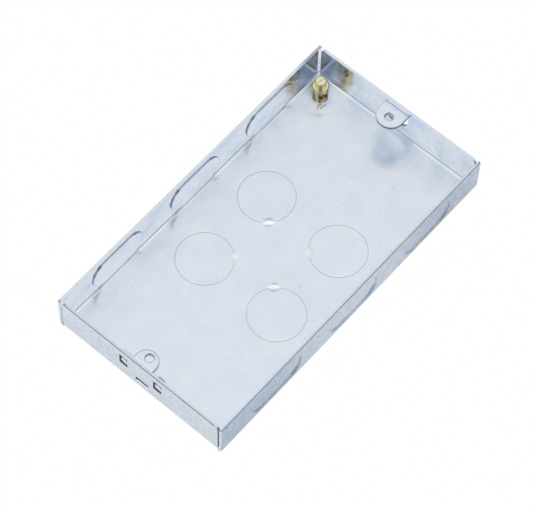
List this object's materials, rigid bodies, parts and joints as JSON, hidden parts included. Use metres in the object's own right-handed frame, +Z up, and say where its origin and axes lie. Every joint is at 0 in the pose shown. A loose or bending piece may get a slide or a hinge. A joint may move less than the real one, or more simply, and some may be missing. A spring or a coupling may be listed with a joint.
{
  "type": "flush back box",
  "caption": "Shallow rectangular flush back box folded from zinc-coated steel, with knockouts, a fixed and a sliding screw lug, and a brass earth terminal.",
  "frame": {"origin": "centre of the underside of the base", "axes": "+X along the length towards the fixed lug, +Y across the width towards the wall beside the earth terminal, +Z up out of the open side"},
  "size_m": [0.131, 0.0704, 0.016],
  "materials": {
    "zinc_steel": "bright zinc coat",
    "brass": "turned, bright"
  },
  "bodies": {
    "box": {"box_body": "zinc_steel", "terminal_pillar": "brass"},
    "lug": {"adjustable_lug": "zinc_steel"},
    "screw": {"terminal_screw": "brass"}
  },
  "joints": [
    {"name": "lug_slide", "type": "slide", "parent": "box", "child": "lug", "axis": [0, 1, 0], "range_m": [-0.0008, 0.0008]},
    {"name": "screw_travel", "type": "slide", "parent": "box", "child": "screw", "axis": [0, 0, 1], "range_m": [0, 0.003]}
  ]
}
